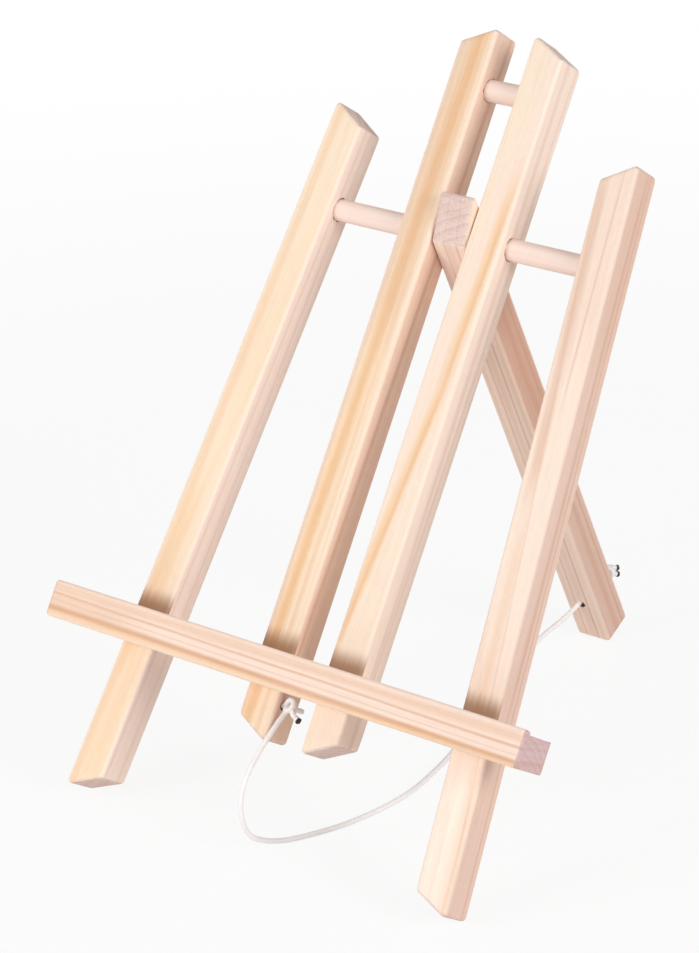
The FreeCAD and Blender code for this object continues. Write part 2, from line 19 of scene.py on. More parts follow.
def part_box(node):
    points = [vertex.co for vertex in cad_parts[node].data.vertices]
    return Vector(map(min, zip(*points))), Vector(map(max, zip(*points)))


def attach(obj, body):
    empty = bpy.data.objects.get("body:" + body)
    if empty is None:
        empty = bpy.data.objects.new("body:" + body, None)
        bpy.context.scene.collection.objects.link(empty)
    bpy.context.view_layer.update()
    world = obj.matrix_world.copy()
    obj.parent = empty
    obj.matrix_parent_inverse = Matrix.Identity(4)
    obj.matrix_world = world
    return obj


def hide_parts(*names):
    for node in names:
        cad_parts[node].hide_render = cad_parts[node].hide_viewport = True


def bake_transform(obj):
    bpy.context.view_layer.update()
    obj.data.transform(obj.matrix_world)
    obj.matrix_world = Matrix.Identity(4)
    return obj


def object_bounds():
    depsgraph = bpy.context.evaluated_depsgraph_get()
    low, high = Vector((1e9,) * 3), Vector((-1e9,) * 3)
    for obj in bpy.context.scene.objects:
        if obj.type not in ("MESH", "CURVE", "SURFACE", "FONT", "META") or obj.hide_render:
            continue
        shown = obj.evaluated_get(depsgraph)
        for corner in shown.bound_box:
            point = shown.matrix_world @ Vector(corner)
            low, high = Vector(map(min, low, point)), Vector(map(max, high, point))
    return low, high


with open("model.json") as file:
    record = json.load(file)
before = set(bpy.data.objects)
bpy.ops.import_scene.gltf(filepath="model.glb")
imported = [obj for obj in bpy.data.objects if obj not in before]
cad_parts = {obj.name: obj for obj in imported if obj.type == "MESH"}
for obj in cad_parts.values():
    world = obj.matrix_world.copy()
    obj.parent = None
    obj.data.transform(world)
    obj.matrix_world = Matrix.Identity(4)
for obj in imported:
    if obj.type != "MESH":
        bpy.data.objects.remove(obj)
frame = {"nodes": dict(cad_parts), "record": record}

CAD_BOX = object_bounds()
MM = 0.001
print("the frame's box in mm:", [round(value / MM, 1) for corner in CAD_BOX for value in corner])

# %% [markdown]
# ## Where things are
#
# The easel's flat frame leans back, so its own directions are the useful ones: ACROSS to the
# right, UP along the posts and OUT of their front faces. The frame's record gives the last two
# as the axes of the shelf and of the back rest. A node's place along any direction is then
# just the range of its points along it.

# %% The leaning frame's own directions
MOUNTS = {mount["name"]: mount for mount in frame["record"]["mounts"]}
ACROSS = Vector((1, 0, 0))
UP = Vector(MOUNTS["tray_shelf"]["axis"]).normalized()
OUT = Vector(MOUNTS["back_rest"]["axis"]).normalized()


def node_points(node):
    """A CAD node's points, in metres, as an array."""
    mesh = frame["nodes"][node].data
    points = np.empty(len(mesh.vertices) * 3)
    mesh.vertices.foreach_get("co", points)
    return points.reshape(-1, 3)


def span(node, direction):
    """The lowest and highest place of a node along a direction."""
    along = node_points(node) @ np.array(direction)
    return along.min(), along.max()


def add_object(name, data):
    """A new object in the scene."""
    piece = bpy.data.objects.new(name, data)
    bpy.context.scene.collection.objects.link(piece)
    return piece


print("lean in degrees:", round(math.degrees(math.atan2(UP.y, UP.z)), 2))

# %% [markdown]
# ## The camera
#
# The easel is seen from its front right and from a little above, with a long lens from over a
# metre away. A fixed place and three angles say it all, so nothing needs a target or a
# constraint.

# %% Camera
CAMERA_PLACE = Vector((0.6781, -0.9572, 0.6212))
CAMERA_AZIMUTH = math.radians(36.90)
CAMERA_ELEVATION = math.radians(23.69)
CAMERA_ROLL = math.radians(0.95)
LENS_MM = 135.35


def make_camera():
    """Look along the azimuth and elevation, with the small roll to the right."""
    level = math.cos(CAMERA_ELEVATION)
    way = Vector((-math.sin(CAMERA_AZIMUTH) * level, math.cos(CAMERA_AZIMUTH) * level,
                  -math.sin(CAMERA_ELEVATION)))
    data = bpy.data.cameras.new("camera")
    data.lens = LENS_MM
    camera = add_object("camera", data)
    camera.rotation_mode = "QUATERNION"
    roll = Matrix.Rotation(-CAMERA_ROLL, 4, "Z").to_quaternion()
    camera.rotation_quaternion = way.to_track_quat("-Z", "Y") @ roll
    camera.location = CAMERA_PLACE
    bpy.context.scene.camera = camera
    print("camera is", round(CAMERA_PLACE.length, 3), "m from the easel's foot")


make_camera()

# %% [markdown]
# ## Shader arithmetic
#
# A procedural finish is mostly sums. Building each Math node by hand hides them, so one small
# class wraps a node's output and lets Python's own operators add the nodes. Everything else
# comes from one method that takes a node's type, its settings and its sockets' values.

# %% A wire that can be calculated with
class Wire:
    """One output of a shader node."""

    def __init__(self, tree, socket):
        self.tree = tree
        self.socket = socket

    def math(self, operation, *others):
        values = dict(enumerate((self, *others)))
        return self.tree.node("ShaderNodeMath", {"operation": operation}, values)

    def __add__(self, other):
        return self.math("ADD", other)

    def __sub__(self, other):
        return self.math("SUBTRACT", other)

    def __rsub__(self, other):
        return self.math("MULTIPLY", -1.0).math("ADD", other)

    def __mul__(self, other):
        return self.math("MULTIPLY", other)

    def __truediv__(self, other):
        return self.math("DIVIDE", other)

    def __pow__(self, other):
        return self.math("POWER", other)

    __radd__ = __add__
    __rmul__ = __mul__

    def step(self, low, high):
        """0 below low, 1 above high, and smooth between; the other way round if low is more."""
        limits = {"Value": self, "From Min": low, "From Max": high}
        return self.tree.node("ShaderNodeMapRange", {"interpolation_type": "SMOOTHSTEP"}, limits)


class Nodes:
    """A shader node tree."""

    def __init__(self, node_tree):
        self.nodes = node_tree.nodes
        self.links = node_tree.links

    def node(self, kind, settings=None, sockets=None, out=0):
        """Add a node of a kind, its settings first, then its sockets, and give one output."""
        node = self.nodes.new(kind)
        for name, value in (settings or {}).items():
            setattr(node, name, value)
        for name, value in (sockets or {}).items():
            self.put(node.inputs[name], value)
        return Wire(self, node.outputs[out])

    def put(self, socket, value):
        """Link a wire to a socket, or set the socket to a plain value."""
        if isinstance(value, Wire):
            self.links.new(value.socket, socket)
        else:
            socket.default_value = value

    def here(self):
        """The place on the object, in metres."""
        return self.node("ShaderNodeTexCoord", out="Object")

    def along(self, vector, way):
        """How far a vector reaches along a direction."""
        return self.node("ShaderNodeVectorMath", {"operation": "DOT_PRODUCT"},
                         {0: vector, 1: tuple(way)}, out="Value")


class Tree(Nodes):
    """A material's nodes."""

    def __init__(self, name):
        self.material = bpy.data.materials.new(name)
        self.material.use_nodes = True
        super().__init__(self.material.node_tree)
        self.surface = self.nodes["Principled BSDF"]

    def finish(self, colour, roughness, height, strength, distance):
        """Set the surface's colour and roughness, and dent it by a height."""
        sockets = {"Height": height, "Strength": strength, "Distance": distance}
        self.put(self.surface.inputs["Base Color"], colour)
        self.put(self.surface.inputs["Roughness"], roughness)
        self.put(self.surface.inputs["Normal"], self.node("ShaderNodeBump", None, sockets))
        return self.material

    def mix(self, factor, first, second, blend="MIX"):
        """Mix two colours."""
        settings = {"data_type": "RGBA", "blend_type": blend}
        sockets = {0: factor, 6: as_colour(first), 7: as_colour(second)}
        return self.node("ShaderNodeMix", settings, sockets, out=2)

    def ramp(self, value, stops):
        """A value curve through (position, level) stops."""
        ramp = self.node("ShaderNodeValToRGB", None, {"Fac": value})
        band = ramp.socket.node.color_ramp
        band.interpolation = "B_SPLINE"
        for number, (position, level) in enumerate(stops):
            stop = band.elements[number] if number < 2 else band.elements.new(position)
            stop.position = position
            stop.color = (level, level, level, 1)
        return ramp

    def scaled(self, vector, sizes):
        """A vector times three sizes."""
        return self.node("ShaderNodeVectorMath", {"operation": "MULTIPLY"}, {0: vector, 1: sizes})

    def millimetres(self):
        """The place on the object, in millimetres."""
        return self.scaled(self.here(), (1 / MM, 1 / MM, 1 / MM))

    def noise(self, vector, detail=2.0, roughness=0.5):
        """Noise about 0, roughly within a half each way, one cell to each unit of the vector."""
        sockets = {"Vector": vector, "Scale": 1.0, "Detail": detail, "Roughness": roughness}
        return self.node("ShaderNodeTexNoise", None, sockets) - 0.5


def as_colour(value):
    """A plain colour with its alpha, or the wire as it is."""
    return value if isinstance(value, Wire) else (*value, 1.0)


def srgb(red, green, blue):
    """A colour written in the 0 to 255 steps of a paint card, as the linear light it reflects."""
    def linear(step):
        share = step / 255
        return share / 12.92 if share <= 0.04045 else ((share + 0.055) / 1.055) ** 2.4
    return linear(red), linear(green), linear(blue)


# %% [markdown]
# ## Which way a stick grew
#
# Wood looks right when one solid pattern runs through a stick and every face shows its own cut
# of it. That needs the stick's own axes. A stick has two flat sides that meet along its length,
# so the two commonest face directions across each other give the long axis as their cross
# product, whatever the mitres at its ends are.

# %% Stick axes from the faces
class Stick:
    """A stick's middle, its axes and its half sizes, all from its mesh."""

    def __init__(self, node):
        mesh = frame["nodes"][node].data
        directions = {}
        for face in mesh.polygons:
            key = tuple(round(abs(value), 2) for value in face.normal)
            area, total = directions.get(key, (0.0, Vector()))
            way = face.normal if face.normal.dot(total) >= 0 else -face.normal
            directions[key] = (area + face.area, total + way * face.area)
        ways = [total.normalized() for area, total in
                sorted(directions.values(), key=lambda entry: -entry[0])]
        first = ways[0]
        second = next(way for way in ways if abs(way.dot(first)) < 0.05)
        along = first.cross(second).normalized()
        along = along if along.z + along.x > 0 else -along
        side = max((first, second), key=lambda way: abs(way.x) if abs(along.x) < 0.5 else abs(way.z))
        side = side if side.x + side.z > 0 else -side
        depth = along.cross(side).normalized()
        self.turn = Matrix((side, depth, along))
        points = node_points(node) @ np.array(self.turn.transposed())
        self.middle = Vector((points.min(0) + points.max(0)) / 2)
        self.half = (points.max(0) - points.min(0)) / 2 / MM
        self.along = along


STICK_NODES = ["left_leg", "right_leg", "left_post", "right_post", "tray", "rear_leg"]
STICKS = {node: Stick(node) for node in STICK_NODES}
for node, stick in STICKS.items():
    print(node, "is", [round(float(2 * value), 1) for value in stick.half], "mm")

# %% [markdown]
# ## Sanded ends
#
# The frame's sticks have sanded long edges but sharp ends. Real ones are touched up by hand, so
# each stick is copied, its split points are merged and its flat faces made whole again. A few
# cuts near each end give the copy points to move, and every point that stands outside a rounded
# corner is pulled back to it. Nothing is added or removed, so the copy stays closed.

# %% Sticks with sanded ends
END_RADIUS = {"left_leg": 1.4, "right_leg": 1.6, "left_post": 1.5, "right_post": 1.5, "tray": 1.3,
              "rear_leg": 1.5}
LONG_RADIUS = 1.2
SANDED_LENGTH = 4.5
BLEND_END = 4.4
BLEND_LENGTH = 4.0
END_AREA = 40 * MM * MM
END_FACING = 0.35
IN_PLANE = 0.999
CORE_ROUNDS = 60
SHARP_ANGLE = math.radians(38)
CUTS_BELOW = (0.15, 0.35, 0.65, 1.0, 1.4, 1.9, 2.5, 3.2, 4.0)
CUTS_INWARD = (0.3, 0.6, 1.0, 1.5, 2.1, 2.8, 3.6)


def cut(shape, faces, place, normal):
    """Split faces along a plane, adding points and edges only."""
    geometry = list({part for face in faces for part in (face, *face.edges, *face.verts)})
    bmesh.ops.bisect_plane(shape, geom=geometry, dist=1e-7, plane_co=place, plane_no=normal)


def end_faces(shape, way, level):
    """The faces that lie in an end's plane."""
    return [face for face in shape.faces if face.normal.dot(way) > IN_PLANE
            and abs(face.calc_center_median().dot(way) - level) < 0.01 * MM]


def nearest_core(points, planes, curves):
    """The nearest points of the stick's core, whose faces lie a curve's radius inside the planes."""
    core = points.copy()
    left_over = [np.zeros_like(points) for _ in planes]
    for _ in range(CORE_ROUNDS):
        for number, (normal, level) in enumerate(planes):
            start = core + left_over[number]
            excess = np.maximum(0.0, start @ normal - (level - curves))
            core = start - excess[:, None] * normal
            left_over[number] = start - core
    return core


def sand_end(shape, stick, way, level, radius):
    """Round one end, whose plane is way times level, and its corners."""
    side, depth, _ = stick.turn
    middle = stick.turn.transposed() @ stick.middle
    planes = [(np.array(way), level)]
    for below in CUTS_BELOW:
        cut(shape, list(shape.faces), way * (level - below * MM), way)
    for axis, half in ((side, stick.half[0]), (depth, stick.half[1])):
        for sign in (-1, 1):
            planes.append((np.array(axis) * sign, sign * middle.dot(axis) + float(half) * MM))
            for inward in CUTS_INWARD:
                reach = axis * (sign * (float(half) - inward) * MM) + middle
                cut(shape, end_faces(shape, way, level), reach, axis)
    near = [vertex for vertex in shape.verts if level - vertex.co.dot(way) < SANDED_LENGTH * MM]
    points = np.array([vertex.co for vertex in near])
    from_end = (level - points @ planes[0][0]) / MM
    share = np.clip((BLEND_END - from_end) / BLEND_LENGTH, 0.0, 1.0)
    curves = (LONG_RADIUS + (radius - LONG_RADIUS) * share * share * (3 - 2 * share)) * MM
    core = nearest_core(points, planes, curves)
    outward = points - core
    length = np.linalg.norm(outward, axis=1)
    pulled = core + outward * (curves / np.maximum(length, 1e-9))[:, None]
    for vertex, place, moves in zip(near, pulled, length > curves):
        if moves:
            vertex.co = place


def sanded_stick(node, stick, radius):
    """A merged copy of a stick with its ends rounded by hand."""
    shape = bmesh.new()
    shape.from_mesh(frame["nodes"][node].data)
    bmesh.ops.remove_doubles(shape, verts=shape.verts, dist=0.002 * MM)
    bmesh.ops.dissolve_limit(shape, angle_limit=math.radians(0.5), verts=shape.verts, edges=shape.edges)
    ends = [(face.normal.copy(), face.calc_center_median().dot(face.normal)) for face in shape.faces
            if face.calc_area() > END_AREA and abs(face.normal.dot(stick.along)) > END_FACING]
    for way, level in ends:
        sand_end(shape, stick, way, level, radius)
    bmesh.ops.recalc_face_normals(shape, faces=shape.faces)
    open_edges = sum(not edge.is_manifold for edge in shape.edges)
    for face in shape.faces:
        face.smooth = True
    mesh = bpy.data.meshes.new(f"{node}_sanded")
    shape.to_mesh(mesh)
    shape.free()
    mesh.set_sharp_from_angle(angle=SHARP_ANGLE)
    piece = add_object(f"{node}_sanded", mesh)
    weighted = piece.modifiers.new("weighted", "WEIGHTED_NORMAL")
    weighted.keep_sharp = True
    graph = bpy.context.evaluated_depsgraph_get()
    piece.data = bpy.data.meshes.new_from_object(piece.evaluated_get(graph))
    piece.modifiers.clear()
    bpy.data.meshes.remove(mesh)
    piece.data.name = piece.name
    print(piece.name, "ends", len(ends), "open edges", open_edges, "faces", len(piece.data.polygons))
    return piece


SANDED = {node: sanded_stick(node, STICKS[node], radius) for node, radius in END_RADIUS.items()}

# %% [markdown]
# ## Pine
#
# Pine is a stack of growth rings: wide pale early wood, then a narrow amber line of late wood
# that ends abruptly. The rings are cylinders about a pith that lies well outside so thin a
# stick, and where that pith is decides everything: close lines on one face, wide soft flames
# on the next, arcs at the ends. So each stick only needs its pith's place, its ring width and
# its tilt. A few years of strong growth are laid in as tilted layers, because those are what
# the eye remembers of a stick. Fibres, resin flecks, pale sanded arrises with a painted
# highlight and thirsty end grain are laid on the same coordinates.

# %% The pine finish
HAIR = (5.5, 5.5, 0.11)
FIBRE = (1.5, 1.5, 0.04)
STRAND = (0.9, 0.9, 0.018)
FLECK = (1.6, 1.6, 0.14)
MOTTLE = (0.8, 0.8, 0.4)
PATCH = (0.05, 0.05, 0.012)
RING_DRIFT = (0.035, 0.035, 0.0075)
RING_WAVER = (0.16, 0.16, 0.022)
END_PORE = (1.5, 1.5, 1.5)
END_SPECK = (2.0, 2.0, 2.0)
YEAR_PROFILE = [(0.0, 0.0), (1.0, 0.0), (0.3, 0.04), (0.68, 0.4), (0.88, 1.0), (0.96, 0.8)]
LAYER_FADE = 14.0
ARRIS_OUTER = 1.7
ARRIS_INNER = 0.5
FLANK_EDGE = (1.3, 0.1)
BLUSH_SHARE = 0.3
LINE_SHARE = 0.62
FLECK_SHARE = 0.14
SAWN_SHARE = 0.7
SAWN_RING_SHARE = 0.4
SPECK_SHARE = 0.6
HOLE_SHARE = 0.85
RAW_WOOD_SPECULAR = 0.32
WOOD_DENT = 0.12 * MM
SAWN = srgb(228, 201, 194)
SAWN_RING = srgb(178, 134, 128)
SAWN_SPECK = srgb(251, 238, 232)
# Pale arris: partly sanding, partly a painted highlight.
WORN_ARRIS_AND_HIGHLIGHT = srgb(254, 236, 218)
# Painted shade in the holes' mouths and in the gaps round the dowels.
HOLE_GAP_SHADE = srgb(92, 56, 40)
# Painted shadow: the brown of the tray's shadow on the uprights just above the shelf.
SHELF_SHADOW_BROWN = srgb(160, 112, 74)


class Grain:
    """Where a point lies in a stick, in millimetres, and how the rings wander there."""

    def __init__(self, tree, stick, seed):
        space = stick_space(tree, stick)
        shift = (seed * 37.0, seed * 11.0, seed * 173.0)
        self.place = tree.node("ShaderNodeVectorMath", None, {0: space, 1: shift})
        parts = tree.node("ShaderNodeSeparateXYZ", None, {0: space})
        outputs = parts.socket.node.outputs
        self.across, self.deep, self.along = (Wire(tree, socket) for socket in outputs)
        self.drift = tree.noise(tree.scaled(self.place, RING_DRIFT), 1.0) * 7.0
        self.waver = tree.noise(tree.scaled(self.place, RING_WAVER), 2.0) * 1.3
        self.strand = tree.noise(tree.scaled(self.place, STRAND), 2.0, 0.5)


def growth_rings(tree, grain, pith, ring, tilt, seed):
    """The late wood's lines, faint in weak years, and the bands of warmer years."""
    from_pith_across = grain.across - pith[0] - grain.along * tilt[0]
    from_pith_deep = grain.deep - pith[1] - grain.along * tilt[1]
    reach = (from_pith_across * from_pith_across + from_pith_deep * from_pith_deep) ** 0.5
    reach = reach + grain.drift + grain.waver
    count = reach / ring
    year = count + tree.noise(ring_vector(tree, count, 0.37, seed), 0.0) * 0.9
    line = tree.ramp(year.math("FRACT"), YEAR_PROFILE)
    vigour = tree.noise(ring_vector(tree, year.math("FLOOR"), 0.83, seed + 5.0), 0.0)
    vigour = vigour.step(-0.3, 0.32) * 0.85 + 0.15
    band = tree.noise(ring_vector(tree, reach, 0.11, seed + 9.0), 1.0).step(-0.12, 0.25)
    return line * vigour, band


def layer_mask(grain, angle, at, half_thickness, slope, shown):
    """1 in the middle of a tilted layer and 0 outside it, between two levels if it has them."""
    turn = math.radians(angle)
    turned = grain.across * math.cos(turn) + grain.deep * math.sin(turn)
    away = turned - at - grain.along * slope + grain.drift * 0.12 + grain.waver * 0.5
    mask = away.math("ABSOLUTE").step(half_thickness * 1.35, half_thickness * 0.2)
    mask = mask * (grain.strand * 0.9 + 0.95)
    for low, high in shown:
        mask = mask * grain.along.step(low - LAYER_FADE, low + LAYER_FADE)
        mask = mask * grain.along.step(high + LAYER_FADE, high - LAYER_FADE)
    return mask


def pine(name, stick, pith, ring, tilt, early, late, blush, contrast=1.0, seed=0.0, warmth=0.3,
         layers=(), holes=(), corner=None, sides=None, glow=0.45, end_tone=SAWN):
    """Solid pine for one stick.

    pith is where the tree's middle lies, across and deep, and ring the rings' width, all in
    millimetres. tilt is how the pith leans, in millimetres for each millimetre along. early,
    late and blush are the pale wood, the ring's line and the warm wood. A layer is its angle,
    its place, its half thickness, its slope along the stick, its strength and its colour, and
    may have the two levels along the stick between which it shows. A hole is a middle point,
    its direction, its radius and its half length, and its mouth gets painted shade. corner is
    the shelf's level, above which the tray's shadow is painted on the stick. sides is a tone
    painted on the two faces across the stick as their light and shade, and its strength. glow
    is how pale the arrises are, from sanding and a painted highlight, and end_tone is the
    colour of the sawn ends.
    """
    tree = Tree(name)
    grain = Grain(tree, stick, seed)
    place = grain.place
    line, band = growth_rings(tree, grain, pith, ring, tilt, seed)
    fibre = tree.noise(tree.scaled(place, FIBRE), 4.0, 0.62)
    hair = tree.noise(tree.scaled(place, HAIR), 2.0, 0.7)
    fleck = tree.noise(tree.scaled(place, FLECK), 2.0, 0.6).step(0.2, 0.34)
    mottle = tree.noise(tree.scaled(place, MOTTLE), 3.0, 0.6)
    patch = tree.noise(tree.scaled(place, PATCH), 2.0).step(-0.3, 0.3)
    end = end_mask(tree, stick)
    arris = arris_mask(grain, stick) * (1.0 - end)

    colour = tree.mix(patch * BLUSH_SHARE, early, blush)
    colour = tree.mix(band * warmth, colour, blush)
    # Painted light and shade: the two faces across the stick get their own tone, lighter or darker, for
    # how the lamps fall on them.
    if sides:
        tone, strength = sides
        half = float(stick.half[0])
        flank = grain.across.math("ABSOLUTE").step(half - FLANK_EDGE[0], half - FLANK_EDGE[1])
        colour = tree.mix(flank * strength, colour, tone)
    for angle, at, half_thickness, slope, strength, tone, *shown in layers:
        mask = layer_mask(grain, angle, at, half_thickness, slope, shown)
        colour = tree.mix(mask * strength, colour, tone)
    colour = tree.mix(line * (LINE_SHARE * contrast), colour, late)
    colour = tree.mix(fleck * FLECK_SHARE, colour, late)
    shade = 1.0 + fibre * 0.15 + mottle * 0.1 + grain.strand * 0.12 + hair * 0.13
    colour = tree.mix(1.0, colour, grey(tree, shade), "MULTIPLY")
    # The arrises are pale from sanding, and the paler tone is partly a painted highlight.
    colour = tree.mix(arris * glow, colour, WORN_ARRIS_AND_HIGHLIGHT)

    pore = tree.noise(tree.scaled(place, END_PORE), 3.0, 0.75)
    speck = tree.noise(tree.scaled(place, END_SPECK), 2.0, 0.7).step(0.02, 0.22)
    sawn = tree.mix(SAWN_SHARE, colour, end_tone)
    sawn = tree.mix(line * SAWN_RING_SHARE, sawn, SAWN_RING)
    sawn = tree.mix(1.0, sawn, grey(tree, 0.98 + pore * 0.55), "MULTIPLY")
    sawn = tree.mix(speck * SPECK_SHARE, sawn, SAWN_SPECK)
    colour = tree.mix(end, colour, sawn)
    # Painted shade: the mouths of the holes and the gaps round the dowels are darkened.
    for hole in holes:
        colour = tree.mix(hole_mouth(tree, place, *hole) * HOLE_SHARE, colour, HOLE_GAP_SHADE)
    # Painted shadow: the tray's shadow is painted brown on the uprights just above the shelf.
    if corner is not None:
        colour = tree.mix(painted_shelf_shadow(tree, corner, grain.strand), colour, SHELF_SHADOW_BROWN)

    tree.surface.inputs["Specular IOR Level"].default_value = RAW_WOOD_SPECULAR
    roughness = 0.6 + fibre * 0.25 - line * 0.12 + end * 0.2
    height = fibre * 0.4 + hair * 0.5 + line * 0.3 + end * pore * 2.2
    return tree.finish(colour, roughness, height, 0.35, WOOD_DENT)


def stick_space(tree, stick):
    """Object coordinates turned to the stick, in millimetres from its middle."""
    turned = {"Vector": tree.here(), "Rotation": tuple(stick.turn.to_euler()),
              "Location": tuple(-stick.middle / MM), "Scale": (1 / MM, 1 / MM, 1 / MM)}
    return tree.node("ShaderNodeMapping", {"vector_type": "POINT"}, turned)


def ring_vector(tree, value, rate, seed):
    """A value as a place along one line of noise."""
    return tree.node("ShaderNodeCombineXYZ", None, {0: value * rate, 1: seed * 3.1, 2: seed * 1.7})


def grey(tree, value):
    """A value as a grey colour."""
    return tree.node("ShaderNodeCombineXYZ", None, {0: value, 1: value, 2: value})


def end_mask(tree, stick):
    """1 on the sawn ends, 0 along the sides."""
    facing = tree.along(tree.node("ShaderNodeTexCoord", out="Normal"), stick.along)
    return facing.math("ABSOLUTE").step(0.4, 0.62)


def arris_mask(grain, stick):
    """1 on the softened long edges, whose paler tone is partly sanding and partly a painted highlight.
    """
    near_side, near_face = (
        place.math("ABSOLUTE").step(float(half) - ARRIS_OUTER, float(half) - ARRIS_INNER)
        for place, half in zip((grain.across, grain.deep), stick.half))
    return near_side * near_face


def hole_mouth(tree, place, point, way, radius, reach):
    """1 in and just round a drilled hole, with a torn rim, where the gap's shade is painted dark; all in
    metres but the noise.
    """
    offset = tree.node("ShaderNodeVectorMath", {"operation": "SUBTRACT"},
                       {0: tree.here(), 1: tuple(point)})
    square = tree.node("ShaderNodeVectorMath", {"operation": "CROSS_PRODUCT"},
                       {0: offset, 1: tuple(way)})
    away = tree.node("ShaderNodeVectorMath", {"operation": "LENGTH"}, {0: square}, out="Value")
    depth = tree.along(offset, way).math("ABSOLUTE")
    torn = tree.noise(tree.scaled(place, (0.55, 0.55, 0.4)), 2.0)
    rim = (away * (1 / MM) - radius / MM - torn * 1.8).step(0.5, 0.0)
    return rim * depth.step(reach + 0.4 * MM, reach + 0.3 * MM)


def painted_shelf_shadow(tree, level, strand):
    """How much of the tray's painted shadow lies on the sticks just above the shelf, up from a level
    along UP.
    """
    height = tree.along(tree.here(), UP)
    front = tree.along(tree.here(), OUT)
    above = (height - level) * (1 / MM) - strand * 3.0
    face = (front - FACE_LEVEL + 1.5 * MM).step(0.0, 0.5 * MM)
    return above.step(10.5, 3.0) * above.step(-0.5, 0.0) * face * 0.8


# %% [markdown]
# Six sticks, six boards. The creamy ones are sapwood with faint lines, the post with the amber
# stripe is cut through a few strong years, and the tray's front runs with its rings, so they
# draw long lines from end to end.

# %% Dress the sticks
CREAM = srgb(250, 230, 206)
BLOSSOM = srgb(255, 232, 220)
MAUVE = srgb(240, 204, 186)
SHELL = srgb(253, 233, 216)
MILK = srgb(255, 243, 228)
FAWN = srgb(226, 180, 142)
LILAC = srgb(204, 168, 178)
PALE_PINK = srgb(251, 227, 212)
PEACH = srgb(247, 214, 192)
HONEY = srgb(249, 215, 176)
ORANGE = srgb(236, 186, 138)
AMBER = srgb(224, 172, 130)
UMBER = srgb(198, 143, 112)
ROSE = srgb(222, 180, 164)
GOLD = srgb(244, 201, 154)
OCHRE = srgb(208, 150, 104)
RUSSET = srgb(212, 170, 152)
TAN = srgb(220, 176, 152)

FACE_LEVEL = span("left_post", OUT)[1]
PIVOT = (Vector(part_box("pivot_dowel")[0]) + Vector(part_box("pivot_dowel")[1])) / 2
TOP = (Vector(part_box("top_dowel")[0]) + Vector(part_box("top_dowel")[1])) / 2
DOWEL_RADIUS = 4.0 * MM
CORD_HOLE_RADIUS = 1.5 * MM
LIP_HEIGHT = 1.5 * MM
SHELF_LEVEL = span("tray", UP)[1] - LIP_HEIGHT
PIVOT_HOLE = (PIVOT, ACROSS, DOWEL_RADIUS, span("pivot_dowel", ACROSS)[1])
TOP_HOLE = (TOP, ACROSS, DOWEL_RADIUS, span("top_dowel", ACROSS)[1])
FRONT_CORD_HOLE = (ACROSS * span("left_post", ACROSS)[1] + OUT * (span("front_loop", OUT)[1] - 1.0 * MM)
                   + UP * sum(span("front_loop", UP)) / 2, ACROSS, CORD_HOLE_RADIUS, 20 * MM)
REAR_WAY = ACROSS.cross(STICKS["rear_leg"].along)
REAR_HOLE_PLACE = (0.0, 0.10635, 0.02461)
REAR_CORD_HOLE = (REAR_HOLE_PLACE, REAR_WAY, CORD_HOLE_RADIUS, 14 * MM)

